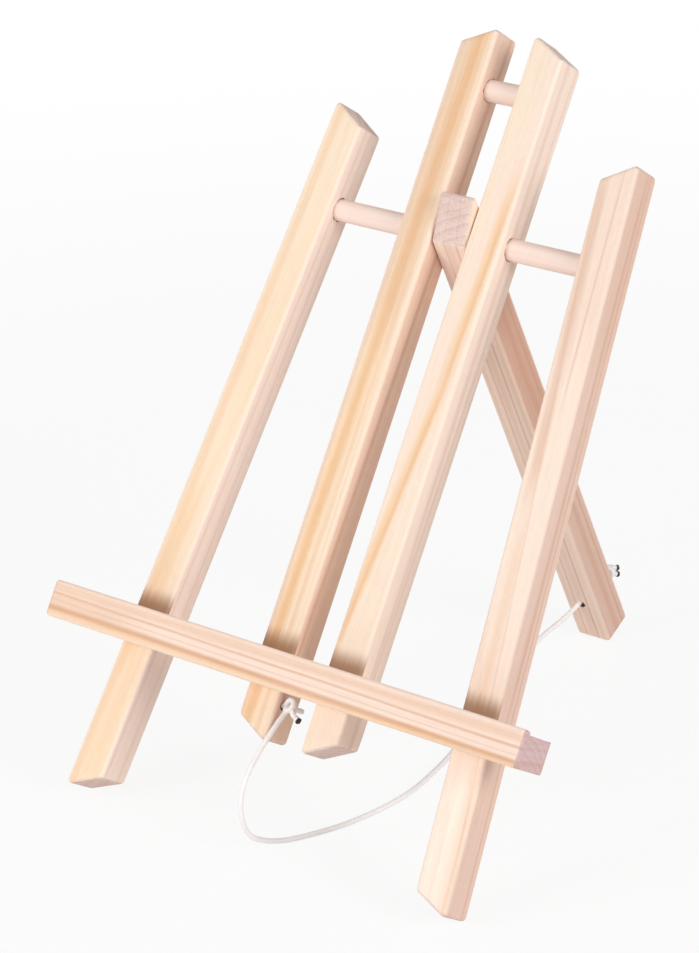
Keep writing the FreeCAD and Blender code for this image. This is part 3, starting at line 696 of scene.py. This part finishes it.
BOARDS = {
    "left_leg": dict(
        pith=(-70, -95), ring=4.2, tilt=(0.03, 0.02), early=CREAM, late=AMBER, blush=HONEY,
        contrast=0.16, seed=1.0, warmth=0.3, sides=(BLOSSOM, 0.85), holes=[PIVOT_HOLE],
        corner=SHELF_LEVEL,
        layers=[
            (5, -4.6, 2.0, 0.004, 0.35, ORANGE),
            (5, -1.0, 3.6, 0.02, 0.5, GOLD, (-76, -18)),
            (5, 1.0, 4.0, 0.0, 0.35, GOLD, (-126, -84)),
            (88, -3.6, 0.9, 0.01, 0.3, ROSE),
            (88, 2.0, 0.9, -0.006, 0.25, ROSE),
        ]),
    "right_leg": dict(
        pith=(-28, 60), ring=2.7, tilt=(-0.02, 0.03), early=SHELL, late=UMBER, blush=PEACH,
        contrast=0.2, seed=2.0, warmth=0.2, sides=(ROSE, 0.6), holes=[PIVOT_HOLE],
        corner=SHELF_LEVEL,
        layers=[
            (12, -1.4, 0.6, -0.05, 0.15, UMBER),
            (0, -1.8, 5.4, 0.0, 0.65, MILK, (-140, -80)),
            (12, -3.6, 2.2, -0.02, 0.55, TAN, (15, 130)),
            (90, 0.0, 9.0, 0.0, 0.32, TAN, (66, 140)),
            (12, -0.6, 0.5, 0.01, 0.45, TAN, (50, 130)),
            (5, -2.2, 2.2, -0.02, 0.3, ORANGE, (-70, 0)),
            (0, 5.4, 1.0, 0.0, 0.35, ORANGE, (-140, -86)),
            (80, 1.6, 1.2, 0.004, 0.35, UMBER, (-60, 130)),
            (80, 4.4, 0.7, 0.0, 0.3, UMBER),
        ]),
    "left_post": dict(
        pith=(34, 9), ring=3.1, tilt=(0.01, -0.02), early=CREAM, late=AMBER, blush=HONEY,
        contrast=0.25, seed=3.0, warmth=0.4, sides=(MAUVE, 0.7),
        holes=[PIVOT_HOLE, TOP_HOLE, FRONT_CORD_HOLE], corner=SHELF_LEVEL,
        layers=[
            (0, -1.2, 3.2, 0.014, 0.75, GOLD),
            (0, -0.9, 1.9, 0.014, 0.55, ORANGE),
            (0, 3.2, 1.1, 0.006, 0.35, ORANGE),
            (0, -0.6, 5.6, 0.0, 0.5, FAWN, (20, 140)),
            (0, -5.6, 1.3, 0.004, 0.4, ROSE),
            (90, -0.9, 1.3, 0.03, 0.4, UMBER),
        ]),
    "right_post": dict(
        pith=(-55, 40), ring=3.6, tilt=(0.04, 0.02), early=CREAM, late=AMBER, blush=PALE_PINK,
        contrast=0.16, seed=4.0, warmth=0.3, sides=(BLOSSOM, 0.5), holes=[PIVOT_HOLE, TOP_HOLE],
        corner=SHELF_LEVEL,
        layers=[
            (6, -5.4, 5.0, 0.09, 0.6, PALE_PINK),
            (6, 1.0, 2.6, 0.03, 0.7, GOLD, (5, 78)),
            (6, 1.0, 2.5, 0.09, 0.75, GOLD, (-95, 5)),
            (6, 1.6, 1.0, 0.03, 0.5, ORANGE, (5, 70)),
            (6, 1.6, 1.0, 0.09, 0.5, ORANGE, (-90, 5)),
            (75, 4.6, 0.9, 0.01, 0.3, ROSE),
            (80, 0.5, 1.4, -0.01, 0.35, ROSE),
        ]),
    "tray": dict(
        pith=(-60, 22), ring=2.4, tilt=(0.015, 0.02), early=PALE_PINK, late=UMBER, blush=PEACH,
        contrast=0.18, seed=5.0, warmth=0.45, glow=0.15, end_tone=LILAC,
        layers=[
            (6, 2.1, 0.55, -0.010, 0.5, OCHRE),
            (6, -3.1, 1.3, -0.009, 0.75, OCHRE),
            (6, -4.6, 1.4, -0.006, 0.6, GOLD),
            (6, -0.4, 0.35, -0.010, 0.25, OCHRE),
            (6, 4.9, 1.8, -0.006, 0.45, FAWN),
            (6, 0.5, 4.5, 0.0, 0.4, FAWN, (-140, -62)),
        ]),
    "rear_leg": dict(
        pith=(10, -36), ring=2.3, tilt=(0.02, -0.01), early=PALE_PINK, late=UMBER, blush=PEACH,
        contrast=0.16, seed=6.0, warmth=0.4, sides=(RUSSET, 0.7),
        holes=[PIVOT_HOLE, REAR_CORD_HOLE],
        layers=[
            (0, -5.2, 1.3, 0.0, 0.2, RUSSET),
            (4, -2.6, 0.5, 0.004, 0.4, UMBER),
            (0, 0.2, 1.7, 0.0, 0.25, RUSSET),
            (6, 2.4, 0.55, 0.003, 0.45, UMBER),
            (80, 1.0, 1.6, 0.0, 0.35, UMBER),
            (84, 4.4, 0.6, 0.0, 0.4, UMBER),
            # Painted shade and light, not grain: the next layer darkens the right side below the head,
            # and the last one lightens the head's right facet.
            (0, 7.2, 1.6, 0.0, 0.5, UMBER, (0, 92)),
            (0, 6.8, 1.8, 0.0, 0.95, CREAM, (98, 150)),
        ]),
}


def dress(node, material):
    """Give a CAD node one material."""
    data = frame["nodes"][node].data
    data.materials.clear()
    data.materials.append(material)


for node, board in BOARDS.items():
    finish = pine(f"pine_{node}", STICKS[node], **board)
    dress(node, finish)
    SANDED[node].data.materials.clear()
    SANDED[node].data.materials.append(finish)
print("boards:", len(BOARDS))

# %% [markdown]
# ## Dowels
#
# The dowels are turned from a paler, closer wood, with long fine fibres and hardly any rings.

# %% The dowel finish
def dowel_wood():
    """Pale close wood whose fibres run along X."""
    tree = Tree("dowel_wood")
    place = tree.millimetres()
    fibre = tree.noise(tree.scaled(place, (0.05, 2.4, 2.4)), 4.0, 0.6)
    streak = tree.noise(tree.scaled(place, (0.012, 0.5, 0.5)), 2.0).step(-0.2, 0.25)
    colour = tree.mix(streak * 0.5, srgb(250, 228, 216), srgb(240, 210, 196))
    colour = tree.mix(1.0, colour, grey(tree, 1.0 + fibre * 0.12), "MULTIPLY")
    tree.surface.inputs["Specular IOR Level"].default_value = RAW_WOOD_SPECULAR
    return tree.finish(colour, 0.58 + fibre * 0.2, fibre, 0.3, 0.08 * MM)


DOWEL_WOOD = dowel_wood()
for node in ("top_dowel", "pivot_dowel"):
    dress(node, DOWEL_WOOD)

# %% [markdown]
# ## Brads
#
# The tray is nailed from behind. Only four small bright heads show.

# %% The brads' steel
def bright_wire():
    """Drawn wire with faint scratches."""
    tree = Tree("bright_wire")
    scratch = tree.noise(tree.scaled(tree.here(), (6000.0, 900.0, 900.0)), 2.0)
    colour = tree.mix(scratch + 0.5, (0.5, 0.5, 0.5), (0.72, 0.71, 0.7))
    tree.put(tree.surface.inputs["Base Color"], colour)
    tree.put(tree.surface.inputs["Roughness"], 0.32 + scratch * 0.2)
    tree.surface.inputs["Metallic"].default_value = 1.0
    return tree.material


BRIGHT_WIRE = bright_wire()
for node in frame["nodes"]:
    if node.endswith("_brad"):
        dress(node, BRIGHT_WIRE)

# %% [markdown]
# ## Plaited cord
#
# The cord is a small round plait. Its line is a smooth curve through given points, and
# Geometry Nodes turn any such line into a plait: a tube whose skin is pushed out where a
# strand passes over. Two families of strands cross, and the cosine of the angle round the
# cord says which family is on top, which gives the columns of small chevrons.

# %% The plait's node group
CORD_RADIUS = 1.0 * MM
PLAIT_PAIRS = 4
PLAIT_PITCH = 3.4 * MM
PLAIT_RELIEF = 0.2
CORD_STEP = 0.22 * MM
KNOT_STEP = 0.15 * MM
BEAD_RADIUS = CORD_RADIUS * 1.2
BEAD_LUMPS = 1.3
BEAD_LUMPINESS = 0.16
BEAD_FLATNESS = 0.7
FRONT_KNOT_YARN = CORD_RADIUS * 1.08


class Geometry:
    """A Geometry Nodes group with named inputs."""

    def __init__(self, name):
        self.group = bpy.data.node_groups.new(name, "GeometryNodeTree")
        self.group.interface.new_socket("Geometry", in_out="OUTPUT", socket_type="NodeSocketGeometry")
        self.group.interface.new_socket("Geometry", in_out="INPUT", socket_type="NodeSocketGeometry")
        self.identifiers = {}

    def add_input(self, name, kind):
        socket = self.group.interface.new_socket(name, in_out="INPUT", socket_type=kind)
        self.identifiers[name] = socket.identifier

    def node(self, kind, settings=None, sockets=None):
        node = self.group.nodes.new(kind)
        for name, value in (settings or {}).items():
            setattr(node, name, value)
        for name, value in (sockets or {}).items():
            if hasattr(value, "is_output"):
                self.group.links.new(value, node.inputs[name])
            else:
                node.inputs[name].default_value = value
        return node

    def sum(self, operation, first, second=0.0):
        """One Math node's output."""
        return self.node("ShaderNodeMath", {"operation": operation}, {0: first, 1: second}).outputs[0]


def plait_group():
    """A curve in, a plaited tube out, with its relief kept as the attribute plait."""
    tree = Geometry("plait")
    for name in ("Radius", "Relief", "Pitch", "Step"):
        tree.add_input(name, "NodeSocketFloat")
    tree.add_input("Pairs", "NodeSocketInt")
    tree.add_input("Finish", "NodeSocketMaterial")
    given = tree.node("NodeGroupInput").outputs
    line = tree.node("GeometryNodeResampleCurve", {"mode": "LENGTH"},
                     {"Curve": given["Geometry"], "Length": given["Step"]}).outputs[0]
    length = tree.node("GeometryNodeSplineParameter").outputs["Length"]
    keep_length = tree.node("GeometryNodeCaptureAttribute", {"domain": "POINT"})
    keep_length.capture_items.new("FLOAT", "Length")
    tree.group.links.new(line, keep_length.inputs["Geometry"])
    tree.group.links.new(length, keep_length.inputs["Length"])
    ring = tree.node("GeometryNodeCurvePrimitiveCircle", None,
                     {"Resolution": 32, "Radius": given["Radius"]}).outputs[0]
    turn = tree.node("GeometryNodeSplineParameter").outputs["Factor"]
    keep_turn = tree.node("GeometryNodeCaptureAttribute", {"domain": "POINT"})
    keep_turn.capture_items.new("FLOAT", "Turn")
    tree.group.links.new(ring, keep_turn.inputs["Geometry"])
    tree.group.links.new(turn, keep_turn.inputs["Turn"])
    tube = tree.node("GeometryNodeCurveToMesh", None,
                     {"Curve": keep_length.outputs["Geometry"],
                      "Profile Curve": keep_turn.outputs["Geometry"], "Fill Caps": True}).outputs[0]
    full = tree.sum("MULTIPLY", keep_turn.outputs["Turn"], given["Pairs"])
    travel = tree.sum("DIVIDE", keep_length.outputs["Length"], given["Pitch"])
    travel = tree.sum("MULTIPLY", travel, given["Pairs"])

    def ridge(across):
        wave = tree.sum("COSINE", tree.sum("MULTIPLY", across, 2 * math.pi))
        return tree.sum("MULTIPLY_ADD", wave, 0.5)

    right = ridge(tree.sum("ADD", full, travel))
    left = ridge(tree.sum("SUBTRACT", full, travel))
    over = ridge(full)
    difference = tree.sum("SUBTRACT", right, left)
    relief = tree.sum("ADD", left, tree.sum("MULTIPLY", difference, over))
    fall = tree.sum("MULTIPLY", tree.sum("SUBTRACT", relief, 1.0), given["Relief"])
    push = tree.node("ShaderNodeVectorMath", {"operation": "SCALE"},
                     {0: tree.node("GeometryNodeInputNormal").outputs[0], "Scale": fall}).outputs[0]
    pushed = tree.node("GeometryNodeSetPosition", None, {"Geometry": tube, "Offset": push}).outputs[0]
    stored = tree.node("GeometryNodeStoreNamedAttribute", {"data_type": "FLOAT", "domain": "POINT"},
                       {"Geometry": pushed, "Name": "plait", "Value": relief}).outputs[0]
    smooth = tree.node("GeometryNodeSetShadeSmooth", None, {"Geometry": stored}).outputs[0]
    whole = tree.node("GeometryNodeRealizeInstances", None, {"Geometry": smooth}).outputs[0]
    done = tree.node("GeometryNodeSetMaterial", None,
                     {"Geometry": whole, "Material": given["Finish"]}).outputs[0]
    tree.node("NodeGroupOutput", None, {"Geometry": done})
    return tree


PLAIT = plait_group()
print("plait:", len(PLAIT.group.nodes), "nodes")

# %% [markdown]
# Waxed white yarn is never quite white: the grooves hold dust and shadow, and the wax leaves
# cooler and warmer stretches.

# %% The cord's finish
def waxed_yarn():
    """Near-white yarn with dust and painted shade in the plait's grooves."""
    tree = Tree("waxed_yarn")
    place = tree.millimetres()
    relief = tree.node("ShaderNodeAttribute", {"attribute_name": "plait"}, out="Fac")
    yarn = tree.noise(tree.scaled(place, (4.0, 4.0, 4.0)), 3.0, 0.7)
    stretch = tree.noise(tree.scaled(place, (0.07, 0.07, 0.07)), 2.0).step(-0.25, 0.25)
    colour = tree.mix(stretch, srgb(255, 252, 251), srgb(250, 247, 250))
    # The grooves are darkened as dust and as painted shade.
    groove = 1.0 - relief.step(0.05, 0.75)
    colour = tree.mix(groove * 0.22, colour, srgb(226, 216, 214))
    colour = tree.mix(1.0, colour, grey(tree, 1.0 + yarn * 0.12), "MULTIPLY")
    tree.surface.inputs["Sheen Weight"].default_value = 0.15
    return tree.finish(colour, 0.55 + yarn * 0.2, yarn, 0.3, 0.05 * MM)


WAXED_YARN = waxed_yarn()

# %% Lines and plaits
def route_curve(name, points):
    """A smooth open curve with the points as its control points."""
    data = bpy.data.curves.new(name, "CURVE")
    data.dimensions = "3D"
    spline = data.splines.new("NURBS")
    spline.points.add(len(points) - 1)
    for control, point in zip(spline.points, points):
        control.co = (*point, 1.0)
    spline.order_u = 3
    spline.use_endpoint_u = True
    spline.resolution_u = 16
    return add_object(name, data)


def centre_line(curve):
    """The points of a bare curve's own line."""
    graph = bpy.context.evaluated_depsgraph_get()
    line = bpy.data.meshes.new_from_object(curve.evaluated_get(graph))
    points = [vertex.co.copy() for vertex in line.vertices]
    bpy.data.meshes.remove(line)
    return points


def line_length(points):
    """The length of a line through points."""
    return sum((after - before).length for before, after in zip(points, points[1:]))


def plaited(name, points, radius=CORD_RADIUS, step=CORD_STEP):
    """A plaited tube along a route, as a plain mesh at the origin, and its centre line."""
    curve = route_curve(f"{name}_line", points)
    line = centre_line(curve)
    modifier = curve.modifiers.new("plait", "NODES")
    modifier.node_group = PLAIT.group
    values = {"Radius": radius, "Relief": PLAIT_RELIEF * radius, "Pitch": PLAIT_PITCH, "Step": step,
              "Pairs": PLAIT_PAIRS, "Finish": WAXED_YARN}
    for key, value in values.items():
        modifier[PLAIT.identifiers[key]] = value
    graph = bpy.context.evaluated_depsgraph_get()
    mesh = bpy.data.meshes.new_from_object(curve.evaluated_get(graph))
    mesh.name = name
    bpy.data.objects.remove(curve)
    piece = add_object(name, mesh)
    print(name, round(line_length(line) / MM, 1), "mm long,", len(mesh.polygons), "faces")
    return piece, line


# %% [markdown]
# ## The stop cord
#
# The cord leaves its knot under the tray, drops to the floor in a slack loop, runs back along
# the floor and rises into the hole near the rear leg's foot. The points are its control points.

# %% The cord along its route
CORD_ROUTE = [
    (-0.00518, -0.08636, 0.04666),
    (-0.0060, -0.0966, 0.0407),
    (-0.0065, -0.1121, 0.0267),
    (-0.0060, -0.1106, 0.0088),
    (-0.0036, -0.0986, 0.0011),
    (0.0036, -0.0886, 0.0011),
    (0.0115, -0.0701, 0.0011),
    (0.0160, -0.0441, 0.0011),
    (0.0122, -0.0151, 0.0011),
    (0.0055, 0.0109, 0.0011),
    (0.0006, 0.0369, 0.0040),
    (-0.0026, 0.0629, 0.0130),
    (-0.0003, 0.0907, 0.0170),
    REAR_HOLE_PLACE,
]

cord, cord_line = plaited("stop_cord", [Vector(point) for point in CORD_ROUTE])

# %% [markdown]
# ## Knots
#
# A knot is more of the same plaited line, turned tightly. Its points are given in the easel's
# own directions from the knot's middle, so that they read as moves: across, out, up. The cut
# ends were sealed with a flame, which leaves a small black bead.

# %% Where the knots are
KNOT_RADIUS = 2.5 * MM
KNOT_CENTRE = (ACROSS * (span("left_post", ACROSS)[1] + KNOT_RADIUS)
               + OUT * (span("front_loop", OUT)[1] - CORD_RADIUS)
               + UP * sum(span("front_loop", UP)) / 2)
REAR = STICKS["rear_leg"]
DOWN_LEG = -REAR.along if REAR.along.z > 0 else REAR.along
BEHIND = ACROSS.cross(DOWN_LEG)
BEHIND = BEHIND if BEHIND.y > 0 else -BEHIND
CORD_END = Vector(CORD_ROUTE[-1])
print("front knot", [round(v / MM, 1) for v in KNOT_CENTRE], "behind", [round(v, 3) for v in BEHIND])


def from_knot(points, centre, out, up):
    """Points given across, out and up from a centre, in millimetres, as places."""
    return [centre + (ACROSS * a + out * o + up * u) * MM for a, o, u in points]


# %% The burnt ends
def burnt():
    """Melted and blackened yarn: glossy, lumpy, brown where it thins."""
    tree = Tree("burnt_end")
    lump = tree.noise(tree.scaled(tree.here(), (1800.0, 1800.0, 1800.0)), 3.0)
    colour = tree.mix(lump.step(-0.1, 0.3), (0.012, 0.009, 0.008), (0.06, 0.035, 0.025))
    return tree.finish(colour, 0.38 + lump * 0.3, lump, 0.5, 0.1 * MM)


BURNT_END = burnt()


def bead(name, line, radius):
    """A lumpy bead over the last point of a line."""
    mesh = bpy.data.meshes.new(name)
    shape = bmesh.new()
    bmesh.ops.create_icosphere(shape, subdivisions=3, radius=radius)
    way = (line[-1] - line[-4]).normalized()
    turn = way.to_track_quat("Z", "Y").to_matrix().to_4x4()
    for vertex in shape.verts:
        lump = noise.noise(vertex.co / radius * BEAD_LUMPS + line[-1] / MM)
        vertex.co *= 1.0 + BEAD_LUMPINESS * lump
        vertex.co.z *= BEAD_FLATNESS
    bmesh.ops.transform(shape, matrix=Matrix.Translation(line[-1]) @ turn, verts=shape.verts)
    for face in shape.faces:
        face.smooth = True
    shape.to_mesh(mesh)
    shape.free()
    mesh.materials.append(BURNT_END)
    return add_object(name, mesh)


# %% The front knot, its loop and its tail
FRONT_TURNS = [(-3.2, 0.0, 0.0), (-1.6, 0.1, 0.4), (-0.4, 0.8, 2.6), (1.5, 1.1, 2.9), (2.3, 0.9, 0.9),
               (0.8, 1.1, -1.2), (-0.9, 0.7, -1.5), (-1.2, -0.9, 0.8), (0.1, -1.6, 2.3),
               (1.4, -1.2, 1.2), (1.9, 0.3, -0.7), (3.2, 0.9, -2.0), (5.0, 0.9, -2.9), (6.0, 0.9, -3.4)]
front_knot, front_line = plaited("front_knot_turns", from_knot(FRONT_TURNS, KNOT_CENTRE, OUT, UP),
                                 FRONT_KNOT_YARN, KNOT_STEP)
front_bead = bead("front_knot_bead", front_line, BEAD_RADIUS)


def loop_points():
    """Round the post: the hole's far mouth, the outer side, the back, and home to the knot."""
    edges = (CORD_RADIUS, -CORD_RADIUS)
    left, right = (value + edge for value, edge in zip(span("front_loop", ACROSS), edges))
    back, front = (value + edge for value, edge in zip(span("front_loop", OUT), edges))
    level = sum(span("front_loop", UP)) / 2
    bend = 1.6 * MM
    flat = [(right, front), (left + 2 * bend, front), (left + bend, front), (left, front),
            (left, front - bend), (left, front - 2 * bend), (left, back + 2 * bend),
            (left, back + bend), (left, back), (left + bend, back), (left + 2 * bend, back),
            (right - 2 * bend, back), (right - bend, back), (right, back), (right, back + bend),
            (right, back + 2 * bend), (right, front - 1.6 * CORD_RADIUS)]
    return [ACROSS * across + OUT * out + UP * level for across, out in flat]


front_loop, _ = plaited("front_loop_turn", loop_points())

# %% The rear knot and its two tails
REAR_TURNS = [(0.0, -2.6, 0.0), (0.1, 1.2, 0.2), (-1.2, 2.4, 1.8), (0.4, 3.6, 3.1), (2.8, 4.2, 2.6),
              (3.9, 4.3, 0.4), (3.0, 3.2, -2.0), (0.4, 2.4, -2.5), (-1.3, 3.8, -0.6), (0.4, 5.3, 0.9),
              (2.4, 6.0, 0.8), (3.4, 6.7, 0.0), (3.8, 7.3, -0.6)]
REAR_SECOND = [(0.6, 2.4, 1.4), (1.4, 3.6, -0.4), (2.4, 4.8, -1.6), (3.2, 5.8, -2.7), (3.7, 6.5, -3.5)]


def behind_leg(name, turns):
    """A plaited line from the place where the cord leaves the back of the rear leg."""
    return plaited(name, from_knot(turns, CORD_END, BEHIND, -DOWN_LEG), CORD_RADIUS, KNOT_STEP)


rear_knot, rear_line = behind_leg("rear_knot_turns", REAR_TURNS)
rear_tail, rear_tail_line = behind_leg("rear_knot_tail", REAR_SECOND)
rear_beads = [bead("rear_knot_bead", rear_line, BEAD_RADIUS),
              bead("rear_tail_bead", rear_tail_line, BEAD_RADIUS)]

# %% [markdown]
# ## What moves with what
#
# The rear leg and its knot turn on the pivot dowel. The cord is tied to both bodies, but it is
# not blended between them: it is left where it lies, attached to neither. Each plaited piece
# stands in for the plain solid of the same place.

# %% Bodies
FRAME_BODY = "easel_frame"
PROP_BODY = "prop"
for node, piece in SANDED.items():
    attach(piece, PROP_BODY if node == "rear_leg" else FRAME_BODY)
    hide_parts(node)
for piece in (front_knot, front_bead, front_loop):
    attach(piece, FRAME_BODY)
for piece in (rear_knot, rear_tail, *rear_beads):
    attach(piece, PROP_BODY)
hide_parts("front_knot")
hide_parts("front_loop")
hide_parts("rear_knot")
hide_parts("cord")
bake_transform(cord)
line_length(cord_line)

# %% [markdown]
# ## Floor and light
#
# A plain white floor fades into a white background, and keeps the easel's soft shadow. The
# light is a soft lamp near the front left, a larger one far off to the right, and a white
# surround that is stronger in front than behind.

# %% Floor
FLOOR_RADIUS = 4.0
FADE_START = 0.3
FADE_END = 0.9
NEAR_GLOW = 0.87


def make_floor():
    """A disc that is matt white near the easel and pure white to the eye further off."""
    mesh = bpy.data.meshes.new("floor")
    shape = bmesh.new()
    bmesh.ops.create_circle(shape, cap_ends=True, segments=96, radius=FLOOR_RADIUS)
    shape.to_mesh(mesh)
    shape.free()
    floor = add_object("floor", mesh)
    tree = Tree("floor_white")
    distance = tree.node("ShaderNodeVectorMath", {"operation": "LENGTH"}, {0: tree.here()}, out="Value")
    matt = tree.node("ShaderNodeBsdfDiffuse", None, {"Color": (0.93, 0.93, 0.93, 1.0)})
    glow = tree.node("ShaderNodeEmission", None, {"Color": (1.0, 1.0, 1.0, 1.0), "Strength": 1.0})
    seen = tree.node("ShaderNodeLightPath", out="Is Camera Ray")
    fade = distance.step(FADE_START, FADE_END) * (1.0 - NEAR_GLOW) + NEAR_GLOW
    mixed = tree.node("ShaderNodeMixShader", None, {0: fade * seen, 1: matt, 2: glow})
    output = tree.nodes["Material Output"]
    tree.links.new(mixed.socket, output.inputs["Surface"])
    tree.nodes.remove(tree.surface)
    mesh.materials.append(tree.material)


make_floor()


# %% Lamps and surround
def soft_lamp(name, place, target, size, power):
    """A square area lamp that faces its target."""
    data = bpy.data.lights.new(name, "AREA")
    data.size = size
    data.energy = power
    lamp = add_object(name, data)
    lamp.location = place
    lamp.rotation_mode = "QUATERNION"
    lamp.rotation_quaternion = (Vector(target) - Vector(place)).to_track_quat("-Z", "Y")


MIDDLE = (CAD_BOX[0] + CAD_BOX[1]) / 2
soft_lamp("key", place=(-0.55, -1.3, 0.62), target=MIDDLE, size=0.7, power=7.8)
soft_lamp("side", place=(2.3, -0.2, 1.1), target=MIDDLE, size=1.0, power=26.5)


def make_surround(front, behind):
    """White light, stronger from the front, seen as pure white past the easel and in gloss."""
    world = bpy.data.worlds.new("surround")
    bpy.context.scene.world = world
    world.use_nodes = True
    tree = Nodes(world.node_tree)
    path = tree.node("ShaderNodeLightPath").socket.node.outputs
    camera, glossy, clear = (Wire(tree, path[f"Is {kind} Ray"])
                             for kind in ("Camera", "Glossy", "Transmission"))
    pure = camera.math("MAXIMUM", glossy).math("MAXIMUM", clear)
    direction = tree.node("ShaderNodeTexCoord", out="Generated")
    depth = tree.node("ShaderNodeSeparateXYZ", None, {0: direction}, out="Y")
    limits = {"Value": depth, "From Min": -1.0, "From Max": 1.0, "To Min": front, "To Max": behind}
    room = tree.node("ShaderNodeMapRange", None, limits)
    background = tree.nodes["Background"]
    tree.put(background.inputs["Strength"], tree.node("ShaderNodeMix", None, {0: pure, 2: room, 3: 1.0}))
    background.inputs["Color"].default_value = (1.0, 1.0, 1.0, 1.0)


make_surround(front=0.7, behind=0.2)
bpy.context.scene.view_settings.view_transform = "Standard"
